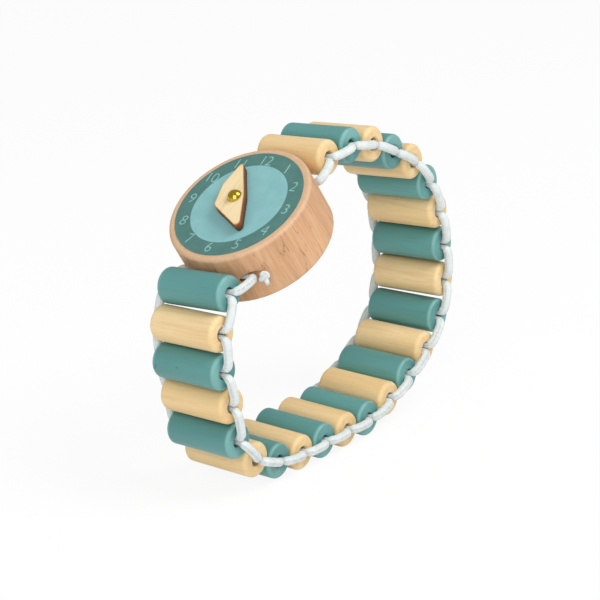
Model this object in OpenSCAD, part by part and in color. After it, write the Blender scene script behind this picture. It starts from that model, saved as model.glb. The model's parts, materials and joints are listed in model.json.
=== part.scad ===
// Toy wrist watch of turned wood on a strap of dowel beads, threaded crosswise on one round elastic.
// The strap stands on the floor. The wrist's axis is Y, +Z is up, and the dial faces up and to -X.

/* [Case] */
// Diameter of the case, a slice of thick dowel
case_d = 25; // [22:0.5:32]
// Thickness of the case
case_t = 10; // [7:0.5:13]
// Rounding of the case's two rims
case_edge = 0.6; // [0.3:0.1:1.2]
// Diameter of the two cross bores that the elastic runs through
cross_bore_d = 2.2; // [2:0.1:2.6]
// From the rim to the axis of each cross bore, measured where the case is widest
cross_bore_inset = 2.1; // [1.8:0.1:3]
// Diameter of the dark printed ring that carries the numbers
dial_ring_d = 22.6; // [20:0.1:23.5]
// Width of that ring
dial_band = 2.75; // [2:0.05:4]
// Thickness of the print on the face
print_t = 0.1; // [0.05:0.05:0.3]

/* [Hand] */
// From the pivot to the hand's tip
hand_reach = 7.6; // [6:0.1:8.5]
// From the pivot to the hand's shoulder
hand_shoulder = 3.5; // [2.4:0.1:4]
// From the pivot to the end of the hand's tail
hand_tail = 6.9; // [4:0.1:7]
// Thickness of the plywood
hand_t = 1.5; // [1:0.1:2]
// Direction of the hand, clockwise from 12 o'clock
hand_angle = -23; // [-180:1:180]
// Diameter of the pin's shank
pin_d = 1.2; // [0.8:0.1:1.6]
// Diameter of the pin's round head
pin_head_d = 2.5; // [2:0.1:3.2]
// Height of the pin's round head
pin_head_h = 0.9; // [0.6:0.1:1.2]
// How deep the pin is driven into the case
pin_depth = 6; // [4:0.5:6.5]

/* [Beads] */
// Diameter of the dowel that the beads are cut from
bead_d = 6; // [5.5:0.1:7]
// Length of a bead
bead_len = 13; // [11.5:0.5:13.5]
// Diameter of the bore through a bead
bead_bore_d = 2.2; // [2:0.1:2.6]
// Rounding of a bead's two rims
bead_edge = 0.7; // [0.3:0.05:1]
// Chamfer at the mouths of a bead's bore
mouth_chamfer = 0.2; // [0.1:0.05:0.3]
// Gap between neighbouring beads at the middle of their length
bead_gap = 0.2; // [0.18:0.01:0.4]
// Gap between the case's rim and the beads beside it
case_gap = 0.3; // [0.25:0.05:0.6]

/* [Elastic] */
// Diameter of the elastic where it lies across two bead ends
cord_d = 1.5; // [1.3:0.05:1.6]
// Diameter that each of the two strands is drawn down to in a bore
strand_d = 0.9; // [0.8:0.02:1]
// Diameter of the single strand in a cross bore of the case
case_strand_d = 1.4; // [1.2:0.05:1.5]
// Clearance between the elastic and a bead's end
cord_clear = 0.12; // [0.1:0.01:0.2]

/* [Strap] */
// Tilt of each bead's axis, because the elastic is tighter on the far side
cone = 3; // [0:0.5:4]
// Direction that the strap takes along the case, from 12 o'clock to 6 o'clock
case_heading = 212; // [205:1:220]
// How far the first bead lies outwards of the case's middle plane
first_bead_out = 1.8; // [0:0.1:2]
// How far the last bead lies outwards of the case's middle plane
last_bead_out = 0.3; // [0:0.1:1]

/* [Hidden] */
bead_count = 24;
$fn = 48;

wood = "#d9ad84";
dark_print = "#55877f";
light_print = "#86bdbb";
ply = "#eed6a8";
brass = "#c8b43c";
paint = "#6fa5a0";
plain = "#e4c795";
white = "#e8eae6";

// Overrun of every cut through a face
cut = 0.5;
// Running clearance of the hand's bore round the pin, on the radius
pivot_clear = 0.06;
// Clearance between the pin's shank and its hole in the case, on the radius
pin_grip = 0.02;
// Clearance under and over the hand
hand_float = 0.15;
// Depth to which a link's ends reach into the neighbour's bore
tongue = 2;
// Gap between a link's end and the strands of the next link in the same bore
tongue_gap = 0.12;
// Length over which an end and its own strand are joined
joint_lap = 0.05;
// Depth to which a crossing's end reaches over the strand in the case
case_lap = 0.3;
// Diameter of each strand inside a bore, where the two cross
crossed_d = 0.7;
// Share of a crossing's straight over which it swells from its end to its full diameter
swell_share = 0.2;
// Radii of the rounds of the hand's outline, as shares of the shoulder: tip, shoulder, flank, tail, belly
outline_shares = [0.1, 0.37, 0.43, 0.17, 0.46];
// How far the shoulder's round lies behind the pivot, as a share of the shoulder
shoulder_back_share = 0.17;
// Places of the flank's round, as shares of the shoulder sideways and of the reach forwards
flank_side_share = 0.37;
flank_share = 0.42;
// Direction of the hand's tail, off the hand's own line
tail_lean = 12;
// Diameter of the knot
knot_d = 2;
// Clearance of the knot from the case's rim
knot_clear = 0.05;
// Radius of a loop of the knot, thickness of its cut end and length of that end, as shares
loop_share = 0.3;
stub_share = 0.9;
stub_length_share = 0.75;
// How far the knot lies inwards of the bore, as a share of its diameter
knot_shift_share = 0.17;
// Lean of the knot's two loops, turn of both, and direction of the cut end
loop_lean = 30;
stub_turn = [65, -50];

// Headings of the links from the first bead to the last, in degrees, along the oval of the photograph.
// The 8th to 10th are level, where the strap lies on the floor.
heading_deg = [
    -112, -90, -75, -80, -46, -20, -5, 0, 0, 0, 15, 23,
    31, 47, 72, 91, 102, 117, 135, 154, 157, 170, 186
];
// The bead after which the strap leaves the floor and its headings are eased to close the ring
last_on_floor = 10;

dial_centre_d = dial_ring_d - 2 * dial_band;
case_r = case_d / 2;
bead_r = bead_d / 2;
cord_r = cord_d / 2;
strand_r = strand_d / 2;
case_strand_r = case_strand_d / 2;
half_turn = 180 / bead_count;
pitch = bead_d + bead_gap + bead_len * sin(cone) * sin(half_turn);
crossed_r = crossed_d / 2;
// Off-centre place of each strand where two share a bore
strand_off = strand_r + tongue_gap;
cord_rise = cord_r + cord_clear;
bend_r = cord_r;
cross_bore_at = case_r - cross_bore_inset;
bead_at_case = case_r + case_gap + bead_r;

// The ring in its own plane, [x, z], from the first bead. The walk adds one link after another.
function along(a) = [cos(a), sin(a)];
function outward(a) = [sin(a), -cos(a)];
function bead_offset(side, out) = side * bead_at_case * along(case_heading) + out * outward(case_heading);
case_from_first = -bead_offset(1, first_bead_out);
target = case_from_first + bead_offset(-1, last_bead_out);
function easing(k) = k < last_on_floor ? [0, 0]
    : let (a = 180 * (k + 1 - last_on_floor) / (bead_count - last_on_floor)) [sin(a), sin(2 * a)];
function headings(c) = [for (k = [0:bead_count - 2]) heading_deg[k] + c * easing(k)];
function total(v, k = 0) = k == len(v) ? [0, 0] : v[k] + total(v, k + 1);
function reach(h) = total([for (a = h) pitch * along(a)]);
function slope(h, part) = total([for (k = [0:len(h) - 1])
    pitch * easing(k)[part] * PI / 180 * [-sin(h[k]), cos(h[k])]]);
// Newton's steps to the two easing angles that bring the last bead to the case
function closing(c, steps) = steps == 0 ? c
    : let (h = headings(c), miss = target - reach(h), a = slope(h, 0), b = slope(h, 1),
           det = a[0] * b[1] - a[1] * b[0])
      closing(c + [miss[0] * b[1] - miss[1] * b[0], a[0] * miss[1] - a[1] * miss[0]] / det, steps - 1);
link_heading = headings(closing([0, 0], 8));
function walk(k) = k == 0 ? [0, 0] : walk(k - 1) + pitch * along(link_heading[k - 1]);
ring_points = [for (k = [0:bead_count - 1]) walk(k)];

// The lowest bead axis and the middle of the whole, to put the origin under the middle on the floor
floor_z = min([for (p = ring_points) p[1]]);
middle_x = (min([for (p = ring_points) p[0]]) + max([for (p = ring_points) p[0]])) / 2;
case_point = case_from_first;
middle_y = (case_point[1] - floor_z) * sin(cone);
bore_6 = case_point + cross_bore_at * along(case_heading);
bore_12 = case_point - cross_bore_at * along(case_heading);

// Every point where a link of the elastic turns: the bore at 6 o'clock, the beads, the bore at 12 o'clock
turns = concat([bore_6], ring_points, [bore_12]);
function heading_of(j) = let (d = turns[j + 1] - turns[j]) atan2(d[1], d[0]);
function near_turn(a, b) = let (d = b - a) d - 360 * round(d / 360);
// A bead follows the middle direction of the two links that meet in it
function bead_heading(k) = heading_of(k - 1) + near_turn(heading_of(k - 1), heading_of(k)) / 2;
function bore_heading(k) = k == 0 || k > bead_count ? case_heading : bead_heading(k);
// Where the bore at a turn comes out on the near side (-1) or the far side (1), in the ring's plane
function mouth(k, side) = turns[k] - side * bead_len / 2 * sin(cone) * outward(bore_heading(k));

// The whole leans back by the cone's angle, so the beads on the floor lie flat on it
module stand() {
    translate([0, -middle_y, bead_r])
        rotate([-cone, 0, 0])
            translate([-middle_x, 0, -floor_z])
                children();
}

// The same for a point of the ring at a distance y along its axis
function stood(p, y = 0) = let (x = p[0] - middle_x, z = p[1] - floor_z)
    [x, y * cos(cone) + z * sin(cone) - middle_y, z * cos(cone) - y * sin(cone) + bead_r];

// Brings a piece to a point of the ring: X along the strap, Y along the beads, Z towards the wrist
module place(point, heading) {
    translate([point[0], 0, point[1]])
        rotate([0, -heading, 0])
            rotate([cone, 0, 0])
                children();
}

// A round of the given radius and length along Z, with both rims rounded and centred on the origin
module rounded_disc(r, h, edge) {
    rotate_extrude() {
        translate([0, -h / 2])
            square([r - edge, h]);
        translate([0, -h / 2 + edge])
            square([r, h - 2 * edge]);
        for (side = [-1, 1])
            translate([r - edge, side * (h / 2 - edge)])
                circle(edge);
    }
}

module bead_body(tone) {
    color(tone)
        rotate([90, 0, 0])
            difference() {
                rounded_disc(bead_r, bead_len, bead_edge);
                cylinder(h = bead_len + 2 * cut, d = bead_bore_d, center = true);
                for (side = [-1, 1])
                    rotate([side * 90 - 90, 0, 0])
                        translate([0, 0, bead_len / 2 - mouth_chamfer])
                            cylinder(h = mouth_chamfer + cut,
                                     r1 = bead_bore_d / 2, r2 = bead_bore_d / 2 + mouth_chamfer + cut);
            }
}

module bead(k) {
    stand()
        place(turns[k], bead_heading(k))
            bead_body(k % 2 == 1 ? paint : plain);
}

// A quarter bend of the elastic in the XY plane, from +X round to +Y, about the origin
module bend(r) {
    rotate_extrude(angle = 90)
        translate([bend_r, 0])
            circle(r);
}

// One crossing of the elastic over two ends. It starts at x = 0 with an end that is off_a along X and ra thick,
// and ends at x = span with an end that is off_b back and rb thick. The ends point to +Y, and y = 0 is the bead's end.
module crossing(span, off_a, ra, off_b, rb, depth_a, depth_b) {
    straight = span - off_a - off_b - 2 * bend_r;
    taper = straight * swell_share;
    drop = bend_r - cord_rise;
    translate([off_a + bend_r, drop, 0])
        rotate([0, 0, 180])
            bend(ra);
    translate([span - off_b - bend_r, drop, 0])
        rotate([0, 0, -90])
            bend(rb);
    translate([off_a + bend_r, -cord_rise, 0])
        rotate([0, 90, 0])
            rotate_extrude()
                polygon([[0, 0], [ra, 0], [cord_r, taper], [cord_r, straight - taper], [rb, straight], [0, straight]]);
    for (end = [[off_a, ra, depth_a], [span - off_b, rb, depth_b]])
        translate([end[0], drop, 0])
            rotate([-90, 0, 0])
                cylinder(h = end[2] - drop, r = end[1]);
}

// The two strands of a link inside its own bead, which cross there, one above the other
module crossed_strands() {
    inner = bead_len - 2 * (tongue + tongue_gap);
    swing = asin(2 * strand_off / inner);
    for (side = [-1, 1])
        translate([0, 0, side * (crossed_r + joint_lap / 2)])
            rotate([90, 0, side * swing])
                cylinder(h = inner, r = crossed_r, center = true);
}

// Both crossings of a link, near and far, from the mouths at turn j to those at turn j + 1
module crossings(j, off_a, ra, off_b, rb, depth_a, depth_b) {
    for (side = [-1, 1]) {
        step = mouth(j + 1, side) - mouth(j, side);
        translate([0, side * bead_len / 2 * cos(cone), 0])
            place(mouth(j, side), atan2(step[1], step[0]))
                mirror([0, side > 0 ? 1 : 0, 0])
                    crossing(norm(step), off_a, ra, off_b, rb, depth_a, depth_b);
    }
}

// The single strand in a cross bore of the case, a little thinner than the ends that close round it
module case_strand(k) {
    place(turns[k], bore_heading(k))
        rotate([90, 0, 0])
            cylinder(h = bead_len, r = case_strand_r - joint_lap, center = true);
}

module link(j) {
    own = tongue + tongue_gap + joint_lap;
    stand()
        color(white) {
            if (j == 0) {
                crossings(j, 0, case_strand_r, strand_off, strand_r, case_lap, tongue);
                case_strand(j);
            } else {
                if (j < bead_count)
                    crossings(j, strand_off, strand_r, strand_off, strand_r, own, tongue);
                else {
                    crossings(j, strand_off, strand_r, 0, case_strand_r, own, case_lap);
                    case_strand(j + 1);
                }
                place(turns[j], bore_heading(j))
                    crossed_strands();
            }
        }
}

// The case in its own frame: dial towards +Z, 12 o'clock at +Y, 3 o'clock at +X
module on_case() {
    stand()
        place(case_point, case_heading)
            rotate([180, 0, -90])
                children();
}

module case() {
    on_case()
        color(wood)
            difference() {
                rounded_disc(case_r, case_t, case_edge);
                for (side = [-1, 1])
                    translate([0, side * cross_bore_at, 0])
                        rotate([0, 90, 0])
                            cylinder(h = case_d + 2 * cut, d = cross_bore_d, center = true);
                translate([0, 0, case_t / 2 - pin_depth])
                    cylinder(h = pin_depth + cut, r = pin_d / 2 + pin_grip);
            }
}

module printed(outer, inner, tone) {
    on_case()
        color(tone)
            translate([0, 0, case_t / 2])
                difference() {
                    cylinder(h = print_t, d = outer);
                    translate([0, 0, -cut])
                        cylinder(h = print_t + 2 * cut, d = inner);
                }
}

module dial_ring() {
    printed(dial_ring_d, dial_centre_d, dark_print);
}

module dial_centre() {
    printed(dial_centre_d, pin_d + 2 * pin_grip, light_print);
}

hand_base = case_t / 2 + print_t + hand_float;
head_base = hand_base + hand_t + hand_float;

module hand() {
    radii = outline_shares * hand_shoulder;
    on_case()
        color(ply)
            translate([0, 0, hand_base])
                rotate([0, 0, -hand_angle])
                    difference() {
                        linear_extrude(height = hand_t)
                            hull() {
                                translate([0, hand_reach - radii[0]])
                                    circle(radii[0]);
                                translate([radii[1] - hand_shoulder, -hand_shoulder * shoulder_back_share])
                                    circle(radii[1]);
                                translate([-hand_shoulder * flank_side_share, hand_reach * flank_share])
                                    circle(radii[2]);
                                rotate([0, 0, tail_lean])
                                    translate([0, radii[3] - hand_tail])
                                        circle(radii[3]);
                                circle(radii[4]);
                            }
                        translate([0, 0, -cut])
                            cylinder(h = hand_t + 2 * cut, r = pin_d / 2 + pivot_clear);
                    }
}

module hand_pin() {
    dome_r = (pin_head_d * pin_head_d / 4 + pin_head_h * pin_head_h) / (2 * pin_head_h);
    on_case()
        color(brass) {
            translate([0, 0, case_t / 2 - pin_depth])
                cylinder(h = head_base + pin_head_h / 2 - case_t / 2 + pin_depth, r = pin_d / 2);
            intersection() {
                translate([0, 0, head_base + pin_head_h - dome_r])
                    sphere(dome_r);
                translate([0, 0, head_base])
                    cylinder(h = pin_head_h, d = pin_head_d);
            }
        }
}

// The tied ends, a lump on the case's rim beside the near mouth of the bore at 6 o'clock, with a cut stub
module elastic_knot() {
    turn_r = knot_d * loop_share;
    tube_r = knot_d / 2 - turn_r;
    from_middle = cross_bore_at - knot_d * knot_shift_share;
    from_axis = case_r + knot_d / 2 + knot_clear;
    on_case()
        translate([sqrt(from_axis * from_axis - from_middle * from_middle), -from_middle, 0])
            color(white) {
                sphere(turn_r);
                for (side = [-1, 1])
                    rotate([90 + side * loop_lean, loop_lean, 0])
                        rotate_extrude()
                            translate([turn_r, 0])
                                circle(tube_r);
                rotate([0, stub_turn[0], stub_turn[1]])
                    cylinder(h = knot_d * stub_length_share, r = tube_r * stub_share);
            }
}

case();
dial_ring();
dial_centre();
hand_pin();
hand();
elastic_knot();
for (k = [1:bead_count])
    bead(k);
for (j = [0:bead_count])
    link(j);

// The pivots of the strap and of the hand, where the joints are
echo(strap_pivots = [for (p = turns) stood(p)], case_centre = stood(case_point), bead_heading =
    [for (k = [1:bead_count]) bead_heading(k)], easing_angles = closing([0, 0], 8));
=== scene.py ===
# Looks of the toy wrist watch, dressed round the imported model: turned beech, printed dial, beads, elastic
import json
import math

import bmesh
import bpy
import numpy as np
from mathutils import Matrix, Vector


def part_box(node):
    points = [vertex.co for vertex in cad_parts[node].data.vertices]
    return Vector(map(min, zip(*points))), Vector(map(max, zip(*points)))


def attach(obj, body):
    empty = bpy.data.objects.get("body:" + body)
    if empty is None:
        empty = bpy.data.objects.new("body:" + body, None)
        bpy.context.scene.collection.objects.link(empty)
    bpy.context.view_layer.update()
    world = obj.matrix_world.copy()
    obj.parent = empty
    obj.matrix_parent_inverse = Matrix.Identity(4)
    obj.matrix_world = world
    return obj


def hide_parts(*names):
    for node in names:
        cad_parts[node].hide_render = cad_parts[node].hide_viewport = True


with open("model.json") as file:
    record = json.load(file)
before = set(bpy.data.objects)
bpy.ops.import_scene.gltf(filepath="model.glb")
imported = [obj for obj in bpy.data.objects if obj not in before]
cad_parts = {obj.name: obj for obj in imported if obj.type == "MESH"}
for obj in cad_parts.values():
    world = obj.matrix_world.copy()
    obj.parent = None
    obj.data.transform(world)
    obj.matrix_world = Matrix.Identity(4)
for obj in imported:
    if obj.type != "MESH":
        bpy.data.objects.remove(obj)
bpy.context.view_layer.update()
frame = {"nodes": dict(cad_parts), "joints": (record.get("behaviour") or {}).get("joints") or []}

MM = 0.001

# Sizes of the case, its dial and its hand, in millimetres
CASE_THICKNESS = 10.0
CROSS_BORE_AT = 10.4  # from the case's axis to each cross bore
PRINT_THICKNESS = 0.1
NUMERAL_HEIGHT = 2.0
NUMERAL_RADIUS = 9.65  # from the dial's middle to the middle of each number
NUMERAL_NARROWING = 0.96
NUMERAL_FILM = 0.012  # height of the numbers' ink over the ring's ink
PLYWOOD = 1.5
HAND_REACH = 7.6  # from the pivot to the tip
HAND_SHOULDER = 3.5
HAND_TAIL = 6.9
HAND_ANGLE = math.radians(-23)  # clockwise from 12 o'clock
TAIL_LEAN = math.radians(12)
HAND_FLOAT = 0.15  # gap between the hand and the print
HAND_BASE = CASE_THICKNESS / 2 + PRINT_THICKNESS + HAND_FLOAT
PIVOT_HOLE = 0.66  # radius of the hand's hole
HAND_CHAMFER_IN = 0.07
HAND_CHAMFER_DOWN = 0.05
OUTLINE_STEP = 0.35  # greatest distance between points of the hand's outline

# Sizes of the strap, in millimetres
BEADS = 24
BEAD_LENGTH = 13.0
BEAD_EDGE = 0.7  # rounding of a bead's rims
CONE = math.radians(3.0)  # tilt of each bead, because the elastic is tighter on the far side
CORD_RADIUS = 0.75
CORD_SIDES = 16
STRAND_RADIUS = 0.45  # a strand where two share a bore
STRAND_OFF = 0.57  # from the bore's axis to each strand at the mouth
CORD_RISE = 0.87  # from a bead's end to the middle of the cord that lies over it
CORD_CROWN = 0.08  # how much higher the middle of a crossing stands
TONGUE_START = 1.3
TONGUE = 2.0  # depth to which a crossing's end reaches into the next bore
CASE_STRAND_REACH = 3.5  # half the length over which the strand in the case keeps its thickness
CASE_STRAND_PLUMPNESS = 0.8
# the cover's threads lean both ways; 12 round the cord stand 0.39 mm apart, where real ones stand 0.2 mm
# apart, so that they show
THREADS_ROUND = 12
THREAD_PITCH = 1.4  # length of cord in which a thread leans over by one thread

# How a crossing leaves a bore: along the strap, out of the bead's end, and plumpness
OUT_OF_BORE = [(0, -0.5, 0.0), (0.1, 0.1, 0.38), (0.42, 0.55, 0.88), (1.05, CORD_RISE, 1.0)]
# How a strand goes through a bead: share of the way from the middle, and its bow past the other strand
STRAND_BOW = [(-1, 0), (-0.6, 0.3), (0, 0.42), (0.6, 0.3), (1, 0)]

# The knot: a trefoil of thin cord, and its cut stub
KNOT_SIZE = 0.22
KNOT_DEPTH = 0.36
KNOT_CORD_RADIUS = 0.38
KNOT_STEPS = 72
KNOT_STUB = [(0, 0, 0), (0.5, -0.42, -0.3), (0.95, -0.8, -0.58)]

# Where the frame puts the pieces
joint = {j["name"]: j for j in frame["joints"]}
hinge_names = ["strap_flex"] + ["bead_%02d_hinge" % k for k in range(2, BEADS + 1)]
bead_at = [Vector(joint[name]["pos_m"]) for name in hinge_names]
case_at = Vector(joint["hand_spin"]["pos_m"])
outward = Vector(joint["hand_spin"]["axis"]).normalized()
# the ring leans back by its cone angle
wrist_axis = Vector((0, math.cos(CONE), -math.sin(CONE)))
ring_x = Vector((1, 0, 0))
ring_z = ring_x.cross(wrist_axis)
case_along = math.atan2(outward.dot(ring_x), -outward.dot(ring_z))


def in_ring(point):
    """The point's place in the plane of the ring."""
    from_case = point - case_at
    return Vector((from_case.dot(ring_x), from_case.dot(ring_z)))


def from_ring(flat):
    """The point in space at that place in the plane of the ring."""
    return case_at + ring_x * flat[0] + ring_z * flat[1]


def basis(x_axis, y_axis, z_axis, origin):
    """The matrix that carries local X, Y and Z to these directions at that origin."""
    turn = Matrix((x_axis, y_axis, z_axis)).transposed().to_4x4()
    return Matrix.Translation(origin) @ turn


def strap_basis(origin, heading):
    """A bead's directions: X along the strap, Y to the far side, Z towards the wrist."""
    along = ring_x * math.cos(heading) + ring_z * math.sin(heading)
    inward = -ring_x * math.sin(heading) + ring_z * math.cos(heading)
    far = wrist_axis * math.cos(CONE) + inward * math.sin(CONE)
    return basis(along, far, along.cross(far), origin)


# The dial's directions: 12 o'clock is against the strap's run, 3 o'clock is on the near side of the wrist
across_case = strap_basis(case_at, case_along)
twelve = -across_case.to_3x3().col[0]
three = -across_case.to_3x3().col[1]
case_place = basis(three, twelve, outward, case_at)
strap_place = basis(ring_x, wrist_axis, ring_z, case_at)


# Nodes
def linear(hex_colour):
    """The linear colour of an sRGB hex value."""
    parts = [int(hex_colour[i : i + 2], 16) / 255 for i in (1, 3, 5)]
    return [p / 12.92 if p <= 0.04045 else ((p + 0.055) / 1.055) ** 2.4 for p in parts] + [1.0]


def feed(tree, socket, value):
    """Gives a node's input another socket, a hex colour or a plain value."""
    if isinstance(value, bpy.types.NodeSocket):
        tree.links.new(value, socket)
    elif isinstance(value, str) and value.startswith("#"):
        socket.default_value = linear(value)
    else:
        socket.default_value = value


def add(tree, kind, inputs=None, stops=(), **settings):
    """Adds one node with its settings and inputs, and a ramp's stops as pairs of place and hex colour."""
    made = tree.nodes.new(kind)
    for name, value in settings.items():
        setattr(made, name, value)
    for name, value in (inputs or {}).items():
        feed(tree, made.inputs[name], value)
    if stops:
        points = made.color_ramp.elements
        while len(points) < len(stops):
            points.new(0.5)
        for point, (place, colour) in zip(points, stops):
            point.position = place
            point.color = linear(colour)
    return made


def surface(name):
    """A material with its Principled shader, and its tree."""
    material = bpy.data.materials.new(name)
    material.use_nodes = True
    tree = material.node_tree
    return material, tree, tree.nodes["Principled BSDF"]


def millimetres(tree, place):
    """Object coordinates in millimetres, along the directions and from the origin of that place."""
    turn = place.to_3x3().transposed()
    shift = -(turn @ place.translation) / MM
    coordinates = add(tree, "ShaderNodeTexCoord").outputs["Object"]
    mapped = add(tree, "ShaderNodeMapping", {
        "Vector": coordinates, "Location": shift, "Rotation": turn.to_euler(), "Scale": [1 / MM] * 3,
    })
    return mapped.outputs["Vector"]


def marks(tree, place, width, length=None, run=1, shift=(0, 0, 0), detail=3.0, roughness=0.55, swirl=0.0):
    """Random marks of that size in millimetres, longer where the grain runs, along axis 1 (Y) or 2 (Z)."""
    scale = [1 / width] * 3
    scale[run] = 1 / (length or width)
    laid = add(tree, "ShaderNodeMapping", {"Vector": place, "Scale": scale, "Location": shift})
    made = add(tree, "ShaderNodeTexNoise", {
        "Vector": laid.outputs["Vector"], "Scale": 1.0, "Detail": detail, "Roughness": roughness,
        "Distortion": swirl,
    })
    return made.outputs["Fac"]


def tinted(tree, colour, amount, share, tint):
    """The colour, taken the share of the amount of the way to the tint."""
    part = add(tree, "ShaderNodeMath", {0: amount, 1: share}, operation="MULTIPLY").outputs[0]
    return add(tree, "ShaderNodeMix", {0: part, 6: colour, 7: tint}, data_type="RGBA").outputs[2]


def stained(tree, colour, pattern, low, high, share, stain):
    """The colour, stained smoothly as the pattern goes from low to high."""
    rise = add(tree, "ShaderNodeMapRange", {"Value": pattern, "From Min": low, "From Max": high},
               interpolation_type="SMOOTHSTEP")
    return tinted(tree, colour, rise.outputs["Result"], share, stain)


def weighted(tree, *parts, start=0.0):
    """The sum of the patterns, each times its weight, from that start."""
    total = start
    for pattern, weight in parts:
        total = add(tree, "ShaderNodeMath", {0: pattern, 1: weight, 2: total},
                    operation="MULTIPLY_ADD").outputs[0]
    return total


def complete(tree, shader, inputs, relief, depth, strength=1.0):
    """Gives the shader its inputs, and a relief of that depth in millimetres."""
    for name, value in inputs.items():
        feed(tree, shader.inputs[name], value)
    raised = add(tree, "ShaderNodeBump", {"Height": relief, "Distance": depth * MM, "Strength": strength})
    feed(tree, shader.inputs["Normal"], raised.outputs["Normal"])


# Materials
def turned_beech():
    """Steamed beech, turned and fine sanded: pinkish tan, long soft bands and short dark pores."""
    material, tree, shader = surface("turned_beech")
    place = millimetres(tree, case_place)
    # the grain runs along the case's axis, because the case is a slice of thick dowel
    bands = marks(tree, place, 2.381, 28.57, run=2, detail=4, swirl=0.4)
    fibres = marks(tree, place, 0.3846, 6.25, run=2, detail=4, roughness=0.62)
    pores = marks(tree, place, 0.1818, 1.818, run=2, detail=2)
    cracks = marks(tree, place, 1.3333, 20, run=2, shift=(7.3, 2.1, 4.4), detail=2, roughness=0.4)
    colour = add(tree, "ShaderNodeValToRGB", {"Fac": bands},
                 stops=[(0.30, "#be916b"), (0.48, "#cd9f78"), (0.68, "#d6aa82")]).outputs["Color"]
    colour = stained(tree, colour, fibres, 0.44, 0.70, 0.6, "#b98a65")
    colour = stained(tree, colour, pores, 0.62, 0.74, 0.5, "#a87450")
    # long dark lines, where the slow pattern passes its middle value
    above = add(tree, "ShaderNodeMath", {0: cracks, 1: 0.5}, operation="SUBTRACT").outputs[0]
    from_line = add(tree, "ShaderNodeMath", {0: above}, operation="ABSOLUTE").outputs[0]
    colour = stained(tree, colour, from_line, 0.009, 0.0, 0.75, "#935f3f")
    # the sawn and sanded face is paler than the turned side
    height = add(tree, "ShaderNodeSeparateXYZ", {"Vector": place}).outputs["Z"]
    top = CASE_THICKNESS / 2
    colour = stained(tree, colour, height, top - 0.7, top - 0.1, 0.55, "#d3b795")
    relief = weighted(tree, (fibres, 1.0), (pores, -0.6))
    complete(tree, shader, {"Base Color": colour, "Roughness": 0.62, "IOR": 1.45}, relief, 0.035)
    return material


def printed_ink(name, lit, deep):
    """Screen-printed ink on sanded end grain: matt, even, with a trace of the wood under it."""
    material, tree, shader = surface(name)
    place = millimetres(tree, case_place)
    cloud = marks(tree, place, 2.857)
    speckle = marks(tree, place, 0.1111, detail=2)
    colour = add(tree, "ShaderNodeValToRGB", {"Fac": cloud},
                 stops=[(0.3, deep), (0.7, lit)]).outputs["Color"]
    colour = stained(tree, colour, speckle, 0.62, 0.78, 0.25, deep)
    complete(tree, shader, {"Base Color": colour, "Roughness": 0.55, "IOR": 1.5}, speckle, 0.012)
    return material


def dowel_patterns(tree):
    """What both kinds of bead share: the place, the long fibres, and the tone of each length of dowel."""
    place = millimetres(tree, strap_place)
    fibres = marks(tree, place, 0.3125, 6.25, detail=4, roughness=0.6)
    tone = marks(tree, place, 6.25, 50, detail=1)
    return place, fibres, tone


def painted_dowel():
    """Dowel dipped in satin water paint: even teal, with raised fibres; the rims are paler, with paint worn
    thin there and a painted highlight.
    """
    material, tree, shader = surface("painted_dowel")
    place, fibres, tone = dowel_patterns(tree)
    fine = marks(tree, place, 0.4545, detail=4)
    colour = add(tree, "ShaderNodeValToRGB", {"Fac": tone},
                 stops=[(0.35, "#4f8683"), (0.65, "#5a9592")]).outputs["Color"]
    colour = stained(tree, colour, fibres, 0.5, 0.75, 0.3, "#477975")
    # the paler band on the rounded edge, a painted highlight and paint worn thin, starts where the side
    # begins to round, and ends short of the bead's flat end
    side = add(tree, "ShaderNodeSeparateXYZ", {"Vector": place}).outputs["Y"]
    from_middle = add(tree, "ShaderNodeMath", {0: side}, operation="ABSOLUTE").outputs[0]
    half = BEAD_LENGTH / 2
    starts, ends = (
        add(tree, "ShaderNodeMapRange", {"Value": from_middle, "From Min": low, "From Max": high},
            interpolation_type="SMOOTHSTEP").outputs["Result"]
        for low, high in ((half - BEAD_EDGE * 1.1, half - BEAD_EDGE * 0.5), (half - 0.02, half - 0.12))
    )
    rim_highlight_and_thin_paint = add(tree, "ShaderNodeMath", {0: starts, 1: ends}, operation="MULTIPLY").outputs[0]
    # painted highlight along each rounded edge, together with the thin paint there, as a paler teal
    colour = tinted(tree, colour, rim_highlight_and_thin_paint, 0.5, "#82b4b0")
    # rare knocks, where the paint is scraped to a dark stain
    knocks = marks(tree, place, 0.9091, 2.381, shift=(3.7, 1.9, 8.2), detail=3, roughness=0.7)
    knock = add(tree, "ShaderNodeMapRange", {"Value": knocks, "From Min": 0.70, "From Max": 0.72},
                interpolation_type="SMOOTHSTEP").outputs["Result"]
    colour = tinted(tree, colour, knock, 0.6, "#2c4643")
    rough = add(tree, "ShaderNodeMapRange", {"Value": fine, "To Min": 0.36, "To Max": 0.52}).outputs[0]
    relief = weighted(tree, (fibres, 1.0), (fine, 0.35), (knock, -1.0))
    complete(tree, shader, {"Base Color": colour, "Roughness": rough, "IOR": 1.5}, relief, 0.03)
    return material


def plain_dowel():
    """Bare birch dowel, fine sanded: cream, with faint fibres and a few darker streaks along the bead."""
    material, tree, shader = surface("plain_dowel")
    place, fibres, tone = dowel_patterns(tree)
    pores = marks(tree, place, 0.15385, 1.4286, detail=2)
    streaks = marks(tree, place, 1, 20, shift=(2.2, 5.1, 0.7))
    colour = add(tree, "ShaderNodeValToRGB", {"Fac": tone},
                 stops=[(0.35, "#dfc08b"), (0.65, "#e9cf9f")]).outputs["Color"]
    colour = stained(tree, colour, streaks, 0.45, 0.75, 0.5, "#d6b07a")
    colour = stained(tree, colour, fibres, 0.48, 0.72, 0.25, "#d3ad78")
    colour = stained(tree, colour, pores, 0.64, 0.74, 0.4, "#b98e5c")
    complete(tree, shader, {"Base Color": colour, "Roughness": 0.58, "IOR": 1.45}, fibres, 0.03)
    return material


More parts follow.
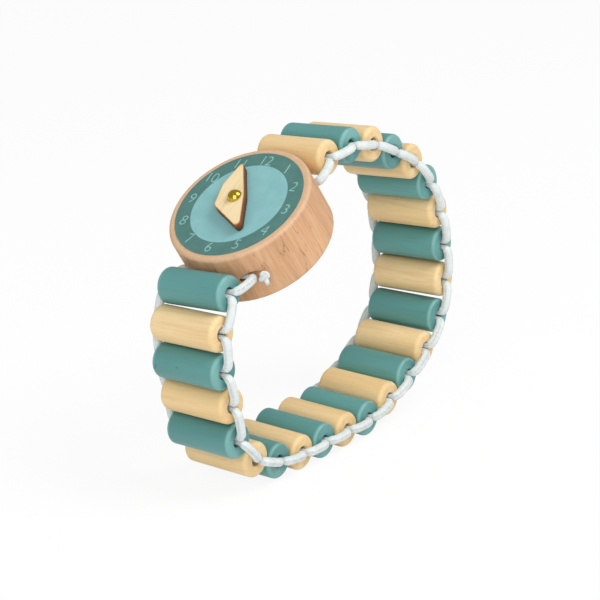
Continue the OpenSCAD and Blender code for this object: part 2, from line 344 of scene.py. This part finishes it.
def laser_cut_plywood():
    """Birch plywood cut by laser: pale sanded face, and edges charred from amber to near black below."""
    material, tree, shader = surface("laser_cut_plywood")
    place = millimetres(tree, case_place)
    char = add(tree, "ShaderNodeAttribute", attribute_name="char").outputs["Fac"]
    grain = marks(tree, place, 0.41667, 4.5455, detail=4, roughness=0.6)
    soot = marks(tree, place, 0.3333)
    face = add(tree, "ShaderNodeValToRGB", {"Fac": grain},
               stops=[(0.3, "#dcc190"), (0.5, "#e9d3a5"), (0.72, "#eddab2")]).outputs["Color"]
    # soot makes the edge of the char uneven, by 0.14 either way
    burnt = weighted(tree, (char, 1.0), (soot, 0.28), start=-0.14)
    edge = add(tree, "ShaderNodeValToRGB", {"Fac": burnt},
               stops=[(0.0, "#e9d3a5"), (0.22, "#dcae74"), (0.45, "#96592c"), (0.75, "#6b3a18"),
                      (1.0, "#3d1f0c")]).outputs["Color"]
    colour = stained(tree, face, burnt, 0.02, 0.3, 1.0, edge)
    complete(tree, shader, {"Base Color": colour, "Roughness": 0.6, "IOR": 1.45}, grain, 0.025)
    return material


def polished_brass():
    """Brass pin, stamped and tumbled: a smooth yellow dome with faint scuffs."""
    material, tree, shader = surface("polished_brass")
    scuffs = marks(tree, millimetres(tree, case_place), 0.2, detail=4)
    colour = add(tree, "ShaderNodeValToRGB", {"Fac": scuffs},
                 stops=[(0.3, "#a88420"), (0.7, "#d8bc48")]).outputs["Color"]
    rough = add(tree, "ShaderNodeMapRange", {"Value": scuffs, "To Min": 0.12, "To Max": 0.28}).outputs[0]
    complete(tree, shader, {"Base Color": colour, "Roughness": rough, "Metallic": 1.0}, scuffs, 0.01)
    return material


def woven_elastic():
    """Round elastic in a woven polyester cover: white, soft, with the cover's crossing threads."""
    material, tree, shader = surface("woven_elastic")
    route = add(tree, "ShaderNodeUVMap", uv_map="route").outputs["UV"]
    place_on_cord = add(tree, "ShaderNodeSeparateXYZ", {"Vector": route}).outputs
    waves = []
    for lean in (2 * math.pi, -2 * math.pi):
        round_cord = (place_on_cord["X"], 2 * math.pi * THREADS_ROUND)
        phase = weighted(tree, round_cord, (place_on_cord["Y"], lean))
        waves.append(add(tree, "ShaderNodeMath", {0: phase}, operation="SINE").outputs[0])
    weave = add(tree, "ShaderNodeMath", {0: waves[0], 1: waves[1]}, operation="MAXIMUM").outputs[0]
    cloud = marks(tree, millimetres(tree, strap_place), 1.25)
    colour = add(tree, "ShaderNodeValToRGB", {"Fac": cloud},
                 stops=[(0.3, "#cdd4d3"), (0.7, "#dbe2e1")]).outputs["Color"]
    colour = stained(tree, colour, weave, 0.4, -0.6, 0.30, "#c6c8c6")
    complete(tree, shader, {
        "Base Color": colour, "Roughness": 0.75, "Sheen Weight": 0.25, "Sheen Roughness": 0.4,
    }, weave, 0.04, 0.6)
    return material


beech = turned_beech()
dark_ink = printed_ink("dark_teal_ink", "#507d78", "#47726d")
light_ink = printed_ink("light_teal_ink", "#87bbbc", "#7db1b3")
numeral_ink = printed_ink("numeral_ink", "#8dc1ba", "#80b3ac")
paint = painted_dowel()
birch = plain_dowel()
plywood = laser_cut_plywood()
brass = polished_brass()
elastic = woven_elastic()


# The solids that keep their shape
def cover_node(name, material):
    """Gives the frame's own mesh of that node its material."""
    shown = frame["nodes"][name]
    shown.data.materials.clear()
    shown.data.materials.append(material)


cover_node("case", beech)
cover_node("dial_ring", dark_ink)
cover_node("dial_centre", light_ink)
cover_node("hand_pin", brass)
for k in range(1, BEADS + 1):
    if k % 2:
        cover_node("painted_bead_%02d" % k, paint)
    else:
        cover_node("plain_bead_%02d" % k, birch)


# Meshes and Geometry Nodes
def mesh_object(name, vertices, faces=(), edges=()):
    """A new mesh object in the scene, at the origin."""
    data = bpy.data.meshes.new(name)
    data.from_pydata([tuple(v) for v in vertices], list(edges), list(faces))
    data.update()
    made = bpy.data.objects.new(name, data)
    bpy.context.scene.collection.objects.link(made)
    return made


def mark_points(made, name, values):
    """Stores one value for each point of the object's mesh, as the attribute of that name."""
    mark = made.data.attributes.new(name, "FLOAT", "POINT")
    mark.data.foreach_set("value", np.array(values, np.float32))


def tree_inputs(tree, names):
    """Adds the tree's named inputs, each of its own kind, and returns their sockets' identifiers."""
    tree.interface.new_socket("Geometry", in_out="INPUT", socket_type="NodeSocketGeometry")
    tree.interface.new_socket("Geometry", in_out="OUTPUT", socket_type="NodeSocketGeometry")
    found = {}
    for name, kind in names.items():
        found[name] = tree.interface.new_socket(name, in_out="INPUT", socket_type=kind).identifier
    return found


def covered_cord_tree():
    """A round cord along the edges of the mesh, full where plumpness is 1 and drawn thin where it is 0."""
    tree = bpy.data.node_groups.new("covered_cord", "GeometryNodeTree")
    sockets = tree_inputs(tree, {
        "Full Radius": "NodeSocketFloat", "Thin Radius": "NodeSocketFloat", "Sides": "NodeSocketInt",
        "Thread Pitch": "NodeSocketFloat", "Cover": "NodeSocketMaterial",
    })
    given = add(tree, "NodeGroupInput").outputs
    curve = add(tree, "GeometryNodeMeshToCurve", {"Mesh": given["Geometry"]}).outputs["Curve"]
    plump = add(tree, "GeometryNodeInputNamedAttribute", {"Name": "plumpness"}, data_type="FLOAT")
    radius = add(tree, "ShaderNodeMapRange", interpolation_type="SMOOTHSTEP", inputs={
        "Value": plump.outputs["Attribute"], "To Min": given["Thin Radius"], "To Max": given["Full Radius"],
    }).outputs["Result"]
    # each point keeps how far along the cord it lies, and each side of the cord how far round
    along = add(tree, "GeometryNodeSplineParameter").outputs["Length"]
    marked = add(tree, "GeometryNodeCaptureAttribute", {"Geometry": curve}, domain="POINT")
    marked.capture_items.new("FLOAT", "Run")
    feed(tree, marked.inputs["Run"], along)
    ring = add(tree, "GeometryNodeCurvePrimitiveCircle", {"Radius": 1.0, "Resolution": given["Sides"]})
    around = add(tree, "GeometryNodeSplineParameter").outputs["Factor"]
    section = add(tree, "GeometryNodeCaptureAttribute", {"Geometry": ring.outputs["Curve"]}, domain="POINT")
    section.capture_items.new("FLOAT", "Turn")
    feed(tree, section.inputs["Turn"], around)
    swept = add(tree, "GeometryNodeCurveToMesh", {
        "Curve": marked.outputs["Geometry"], "Profile Curve": section.outputs["Geometry"], "Scale": radius,
        "Fill Caps": True,
    }).outputs["Mesh"]
    threads = add(tree, "ShaderNodeMath", {0: marked.outputs["Run"], 1: given["Thread Pitch"]},
                  operation="DIVIDE").outputs[0]
    route = add(tree, "ShaderNodeCombineXYZ", {"X": section.outputs["Turn"], "Y": threads}).outputs[0]
    stored = add(tree, "GeometryNodeStoreNamedAttribute", data_type="FLOAT2", domain="CORNER",
                 inputs={"Geometry": swept, "Name": "route", "Value": route}).outputs["Geometry"]
    smooth = add(tree, "GeometryNodeSetShadeSmooth", {"Geometry": stored}).outputs["Geometry"]
    whole = add(tree, "GeometryNodeRealizeInstances", {"Geometry": smooth}).outputs["Geometry"]
    covered = add(tree, "GeometryNodeSetMaterial", {"Geometry": whole, "Material": given["Cover"]})
    add(tree, "NodeGroupOutput", {"Geometry": covered.outputs["Geometry"]})
    return tree, sockets


def grown(source, tree, sockets, values, name):
    """The plain mesh that the tree makes from source, under that name."""
    modifier = source.modifiers.new("growth", "NODES")
    modifier.node_group = tree
    for key, value in values.items():
        modifier[sockets[key]] = value
    bpy.context.view_layer.update()
    result = bpy.data.meshes.new_from_object(source.evaluated_get(bpy.context.evaluated_depsgraph_get()))
    source.modifiers.remove(modifier)
    bpy.data.objects.remove(source)
    result.name = name
    made = bpy.data.objects.new(name, result)
    bpy.context.scene.collection.objects.link(made)
    return made


# The elastic, one piece for each link of the strap
# The first turn is the case's bore at 6 o'clock, and the last is its bore at 12 o'clock
cross_step = Vector((math.cos(case_along), math.sin(case_along))) * CROSS_BORE_AT * MM
turns = [cross_step] + [in_ring(p) for p in bead_at] + [-cross_step]


def heading(j):
    """The direction of the step from turn j to the next, in the plane of the ring."""
    step = turns[j + 1] - turns[j]
    return math.atan2(step[1], step[0])


def bore_heading(k):
    """The direction of the strap at turn k: the case's own, or halfway between a bead's two steps."""
    if not 0 < k <= BEADS:
        return case_along
    before = heading(k - 1)
    return before + math.remainder(heading(k) - before, 2 * math.pi) / 2


def mouth(k, side):
    """Where the bore at turn k comes out on the near (-1) or far (1) side, in the plane of the ring."""
    towards = bore_heading(k)
    inward = Vector((-math.sin(towards), math.cos(towards)))
    return turns[k] + inward * (side * BEAD_LENGTH / 2 * math.sin(CONE) * MM)


def link_place(j, side):
    """The place of link j on that side, with Y = 0 at the ends of the beads, and its length."""
    step = mouth(j + 1, side) - mouth(j, side)
    origin = from_ring(mouth(j, side)) + wrist_axis * (side * BEAD_LENGTH / 2 * math.cos(CONE) * MM)
    return strap_basis(origin, math.atan2(step[1], step[0])), step.length / MM


def smooth_run(points, per_span=6):
    """A smooth run through the given points, each with its plumpness, in per_span steps between two."""
    given = np.array([list(p) + [plumpness] for p, plumpness in points])
    ends = np.vstack([2 * given[0] - given[1], given, 2 * given[-1] - given[-2]])
    run = []
    for i in range(1, len(ends) - 2):
        before, here, after, beyond = ends[i - 1 : i + 3]
        slope = after - before
        bend = 2 * before - 5 * here + 4 * after - beyond
        twist = 3 * here - before - 3 * after + beyond
        for t in np.arange(per_span) / per_span:
            run.append(0.5 * (2 * here + slope * t + bend * t**2 + twist * t**3))
    run = np.array(run + [given[-1]])
    run[:, 3] = np.clip(run[:, 3], 0, 1)
    return run


def crossing_points(j, side, leave, enter):
    """The crossing from turn j to turn j + 1 on the near (-1) or far (1) side, from mouth to mouth."""
    place, end = link_place(j, side)
    rise = [(leave + along, out, plumpness) for along, out, plumpness in OUT_OF_BORE]
    fall = [(end - enter - along, out, plumpness) for along, out, plumpness in reversed(OUT_OF_BORE)]
    route = rise + [(end / 2, CORD_RISE + CORD_CROWN, 1.0)] + fall
    return [(place @ (Vector((x, side * y, 0)) * MM), plumpness) for x, y, plumpness in route]


def strand_through(k, side):
    """The strand in bead k that comes out at the crossing on that side, from the other end of the bore."""
    place = strap_basis(from_ring(turns[k]), bore_heading(k))
    reach = BEAD_LENGTH / 2 - TONGUE
    route = [(STRAND_OFF * share, side * reach * share, side * bow) for share, bow in STRAND_BOW]
    return [(place @ (Vector(point) * MM), 0.0) for point in route]


def tongue_into(j, side):
    """The end that dives into the bore of the next bead, beside that bead's own strand."""
    place, end = link_place(j, side)
    route = [(end - STRAND_OFF, -side * depth, 0) for depth in (TONGUE_START, TONGUE)]
    return [(place @ (Vector(point) * MM), 0.0) for point in route]


def through_case(k):
    """The single strand in the case's cross bore at turn k, from the near mouth to the far one."""
    place = strap_basis(from_ring(turns[k]), case_along)
    depths = (-CASE_STRAND_REACH, 0, CASE_STRAND_REACH)
    return [(place @ (Vector((0, y, 0)) * MM), CASE_STRAND_PLUMPNESS) for y in depths]


cord_tree, cord_sockets = covered_cord_tree()
cord_values = {"Full Radius": CORD_RADIUS * MM, "Thin Radius": STRAND_RADIUS * MM, "Sides": CORD_SIDES,
               "Thread Pitch": THREAD_PITCH * MM, "Cover": elastic}


def cord_piece(name, runs, values=cord_values):
    """Sweeps the cord along one or more runs of points."""
    vertices, edges, plump = [], [], []
    for run in runs:
        first = len(vertices)
        vertices += [tuple(p[:3]) for p in run]
        plump += [p[3] for p in run]
        edges += [(first + i, first + i + 1) for i in range(len(run) - 1)]
    source = mesh_object(name + "_route", vertices, edges=edges)
    mark_points(source, "plumpness", plump)
    return grown(source, cord_tree, cord_sockets, values, name)


def link_runs(j):
    """The runs of link j, which go through the case at both ends of the strap, else from bead to bead."""
    if j == 0:
        near, far = (crossing_points(0, side, 0, STRAND_OFF) + tongue_into(0, side) for side in (-1, 1))
        return [near[::-1] + through_case(0) + far]
    if j == BEADS:
        near, far = (strand_through(j, side) + crossing_points(j, side, STRAND_OFF, 0) for side in (-1, 1))
        return [near + through_case(j + 1) + far[::-1]]
    runs = []
    for side in (-1, 1):
        crossing = crossing_points(j, side, STRAND_OFF, STRAND_OFF)
        runs.append(strand_through(j, side) + crossing + tongue_into(j, side))
    return runs


for j in range(BEADS + 1):
    piece = cord_piece("elastic_cord_%02d" % (j + 1), [smooth_run(run) for run in link_runs(j)])
    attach(piece, "case" if j == 0 else "bead_%02d" % j)
    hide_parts("elastic_link_%02d" % (j + 1))


# The knot and its cut stub, beside the near bore at 6 o'clock
def knot():
    """A tight trefoil where the frame has the knot, with one short end."""
    low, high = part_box("elastic_knot")
    place = basis(three, twelve, outward, (low + high) / 2)
    loop = []
    for i in range(KNOT_STEPS + 1):
        t = 2 * math.pi * i / KNOT_STEPS
        point = Vector((KNOT_DEPTH * math.sin(3 * t), KNOT_SIZE * (math.sin(t) + 2 * math.sin(2 * t)),
                        KNOT_SIZE * (math.cos(t) - 2 * math.cos(2 * t))))
        loop.append([*(place @ (point * MM)), 0.0])
    stub = smooth_run([(place @ (Vector(point) * MM), 0.0) for point in KNOT_STUB])
    values = {**cord_values, "Thin Radius": KNOT_CORD_RADIUS * MM}
    return cord_piece("elastic_tied_knot", [loop, stub], values)


tied = knot()
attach(tied, "case")
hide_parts("elastic_knot")

# The hand
# Radii of the rounds of its outline, as shares of the shoulder: tip, shoulder, flank, tail, belly
ROUND_SHARES = (0.1, 0.37, 0.43, 0.17, 0.46)
SHOULDER_BACK_SHARE = 0.17  # how far the shoulder's round lies behind the pivot
FLANK_SIDE_SHARE = 0.37  # of the shoulder, sideways
FLANK_SHARE = 0.42  # of the reach, forwards
tip, shoulder, flank, tail, belly = (share * HAND_SHOULDER for share in ROUND_SHARES)
# Each round as x and y from the pivot, and radius
HAND_ROUNDS = [
    (0, HAND_REACH - tip, tip),
    (shoulder - HAND_SHOULDER, -HAND_SHOULDER * SHOULDER_BACK_SHARE, shoulder),
    (-HAND_SHOULDER * FLANK_SIDE_SHARE, HAND_REACH * FLANK_SHARE, flank),
    ((HAND_TAIL - tail) * math.sin(TAIL_LEAN), (tail - HAND_TAIL) * math.cos(TAIL_LEAN), tail),
    (0, 0, belly),
]
# Rings of the face: share of the way from the hole to the edge, and how charred the ply is there
FACE_RINGS = [(0, 0), (0.206, 0), (0.412, 0), (0.619, 0), (0.804, 0), (0.928, 0.05), (1, 0.30)]
# Rings of the cut side: height, and how charred the ply is there; the laser burns it most at the bottom
SIDE_RINGS = [(PLYWOOD - HAND_CHAMFER_DOWN, 0.42), (PLYWOOD * 0.8, 0.55), (PLYWOOD * 0.55, 0.72),
              (PLYWOOD * 0.3, 0.85), (HAND_CHAMFER_DOWN, 0.98)]
UNDERSIDE_CHAR = 0.7
HOLE_CHAR = 0.2


def convex_outline(circles, steps=28):
    """The outline of a taut band round circles, each given as x, y and radius."""
    points = set()
    for x, y, radius in circles:
        for i in range(steps):
            turn = 2 * math.pi * i / steps
            points.add((round(x + radius * math.cos(turn), 5), round(y + radius * math.sin(turn), 5)))

    def half(run):
        """One side of the band: a point is dropped where the band would bend inwards at it."""
        chain = []
        for x, y in run:
            while len(chain) > 1:
                (x0, y0), (x1, y1) = chain[-2:]
                if (x1 - x0) * (y - y0) > (y1 - y0) * (x - x0):
                    break
                chain.pop()
            chain.append((x, y))
        return chain[:-1]

    return half(sorted(points)) + half(sorted(points, reverse=True))


def resampled(outline, step):
    """The closed outline with points no further apart than step."""
    dense = []
    for (x0, y0), (x1, y1) in zip(outline, outline[1:] + outline[:1]):
        count = max(1, math.ceil(math.hypot(x1 - x0, y1 - y0) / step))
        dense += [(x0 + (x1 - x0) * i / count, y0 + (y1 - y0) * i / count) for i in range(count)]
    return dense


def hand_piece():
    """The plywood hand in rings: from the hole over the face, down the side and back under to the hole."""
    outline = np.array(resampled(convex_outline(HAND_ROUNDS), OUTLINE_STEP))
    outwards = outline / np.linalg.norm(outline, axis=1, keepdims=True)
    hole = outwards * PIVOT_HOLE
    face_edge = outline - outwards * HAND_CHAMFER_IN
    rings = [(hole + (face_edge - hole) * share, PLYWOOD, burnt) for share, burnt in FACE_RINGS]
    rings += [(outline, height, burnt) for height, burnt in SIDE_RINGS]
    rings += [(face_edge, 0.0, UNDERSIDE_CHAR), (hole, 0.0, HOLE_CHAR)]
    turn = Matrix.Rotation(-HAND_ANGLE, 4, "Z")
    vertices, char = [], []
    for ring, height, burnt in rings:
        vertices += [case_place @ ((turn @ Vector((x, y, height + HAND_BASE))) * MM) for x, y in ring]
        char += [burnt] * len(ring)
    count, total = len(outline), len(rings)
    faces = []
    for ring in range(total):
        start, below = ring * count, (ring + 1) % total * count
        for i in range(count):
            k = (i + 1) % count
            faces.append((start + i, below + i, below + k, start + k))
    made = mesh_object("plywood_hand", vertices, faces)
    mark_points(made, "char", char)
    edit = bmesh.new()
    edit.from_mesh(made.data)
    bmesh.ops.recalc_face_normals(edit, faces=edit.faces)
    edit.to_mesh(made.data)
    edit.free()
    made.data.materials.append(plywood)
    return made


hand = hand_piece()
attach(hand, "hand")
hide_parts("hand")


# The numbers on the dial
def numeral(hour):
    """One printed number, upright towards 12 o'clock, as a thin film on the ring."""
    text = bpy.data.curves.new("numeral", "FONT")
    text.body = str(hour)
    text.size = 1.0
    text.align_x = "CENTER"
    text.offset = -0.012  # thins the strokes
    text.space_character = 0.92  # draws the two digits of 10, 11 and 12 together
    holder = bpy.data.objects.new("numeral", text)
    bpy.context.scene.collection.objects.link(holder)
    bpy.context.view_layer.update()
    flat = bpy.data.meshes.new_from_object(holder.evaluated_get(bpy.context.evaluated_depsgraph_get()))
    bpy.data.objects.remove(holder)
    points = np.array([v.co for v in flat.vertices])
    low, high = points.min(0), points.max(0)
    scale = NUMERAL_HEIGHT / (high[1] - low[1])
    angle = math.radians(30 * hour)
    middle = Vector((math.sin(angle), math.cos(angle))) * NUMERAL_RADIUS
    lift = CASE_THICKNESS / 2 + PRINT_THICKNESS + NUMERAL_FILM
    for v in flat.vertices:
        x = middle.x + (v.co.x - (low[0] + high[0]) / 2) * scale * NUMERAL_NARROWING
        y = middle.y + (v.co.y - (low[1] + high[1]) / 2) * scale
        v.co = case_place @ (Vector((x, y, lift)) * MM)
    made = bpy.data.objects.new("dial_number_%02d" % hour, flat)
    bpy.context.scene.collection.objects.link(made)
    flat.materials.clear()
    flat.materials.append(numeral_ink)
    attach(made, "case")


for hour in range(1, 13):
    numeral(hour)

# Floor, light and camera, in metres
FLOOR_HALF = 1.5
FLOOR_GLOW = 0.9  # share of plain white in what the camera sees of the floor; the rest keeps shadows
AMBIENT = 0.46
WATCH_MIDDLE = (0, 0, 0.03)
AZIMUTH = math.radians(-53.66)
ELEVATION = math.radians(19.35)
DISTANCE = 0.5165
AIM = Vector((-0.000894, 0, 0.024891))
FOCAL_LENGTH = 186.14  # millimetres, on a sensor 36 mm wide
WHITE = (1, 1, 1, 1)


def white_stage():
    """A white floor that keeps the shadow and shows white to the camera and in the brass."""
    material, tree, shader = surface("white_floor")
    feed(tree, shader.inputs["Base Color"], "#f4f4f4")
    feed(tree, shader.inputs["Roughness"], 0.9)
    glow = add(tree, "ShaderNodeEmission", {"Color": WHITE, "Strength": 1.0}).outputs["Emission"]
    path = add(tree, "ShaderNodeLightPath").outputs
    seen = path["Is Camera Ray"]
    for ray in ("Is Glossy Ray", "Is Transmission Ray"):
        seen = add(tree, "ShaderNodeMath", {0: seen, 1: path[ray]}, operation="MAXIMUM").outputs[0]
    share = add(tree, "ShaderNodeMath", {0: seen, 1: FLOOR_GLOW}, operation="MULTIPLY").outputs[0]
    mixed = add(tree, "ShaderNodeMixShader", {0: share, 1: shader.outputs["BSDF"], 2: glow})
    feed(tree, tree.nodes["Material Output"].inputs["Surface"], mixed.outputs["Shader"])
    corners = [(x * FLOOR_HALF, y * FLOOR_HALF, 0) for x, y in ((-1, -1), (1, -1), (1, 1), (-1, 1))]
    made = mesh_object("floor", corners, [(0, 1, 2, 3)])
    made.data.materials.append(material)


def white_world():
    """Even white light from all round, and a white backdrop where the camera sees past the floor."""
    world = bpy.data.worlds.new("studio")
    bpy.context.scene.world = world
    world.use_nodes = True
    sky = world.node_tree
    sky.nodes.clear()
    path = add(sky, "ShaderNodeLightPath").outputs
    seen = add(sky, "ShaderNodeMath", {0: path["Is Camera Ray"], 1: path["Is Transmission Ray"]},
               operation="MAXIMUM").outputs[0]
    ambient = add(sky, "ShaderNodeBackground", {"Color": WHITE, "Strength": AMBIENT}).outputs[0]
    backdrop = add(sky, "ShaderNodeBackground", {"Color": WHITE, "Strength": 1.0}).outputs[0]
    both = add(sky, "ShaderNodeMixShader", {0: seen, 1: ambient, 2: backdrop}).outputs[0]
    add(sky, "ShaderNodeOutputWorld", {"Surface": both})


def softbox(name, at, size, power):
    """A square lamp that faces the watch, size metres wide, of that power in watts."""
    lamp = bpy.data.lights.new(name, "AREA")
    lamp.size = size
    lamp.energy = power
    made = bpy.data.objects.new(name, lamp)
    made.location = at
    made.rotation_euler = (Vector(WATCH_MIDDLE) - Vector(at)).to_track_quat("-Z", "Y").to_euler()
    bpy.context.scene.collection.objects.link(made)


def place_camera():
    """The camera where the photograph was taken from."""
    level = math.cos(ELEVATION)
    back = Vector((math.sin(AZIMUTH) * level, -math.cos(AZIMUTH) * level, math.sin(ELEVATION)))
    lens = bpy.data.cameras.new("camera")
    lens.sensor_width = 36.0
    lens.lens = FOCAL_LENGTH
    lens.clip_start = 0.01
    lens.clip_end = 20.0
    camera = bpy.data.objects.new("camera", lens)
    camera.location = AIM + back * DISTANCE
    camera.rotation_euler = (-back).to_track_quat("-Z", "Y").to_euler()
    bpy.context.scene.collection.objects.link(camera)
    bpy.context.scene.camera = camera


white_stage()
white_world()
softbox("key", (0.12, -0.30, 0.52), 0.30, 2.05)
softbox("fill", (-0.45, -0.22, 0.26), 0.40, 1.6)
place_camera()
bpy.context.scene.view_settings.view_transform = "Standard"
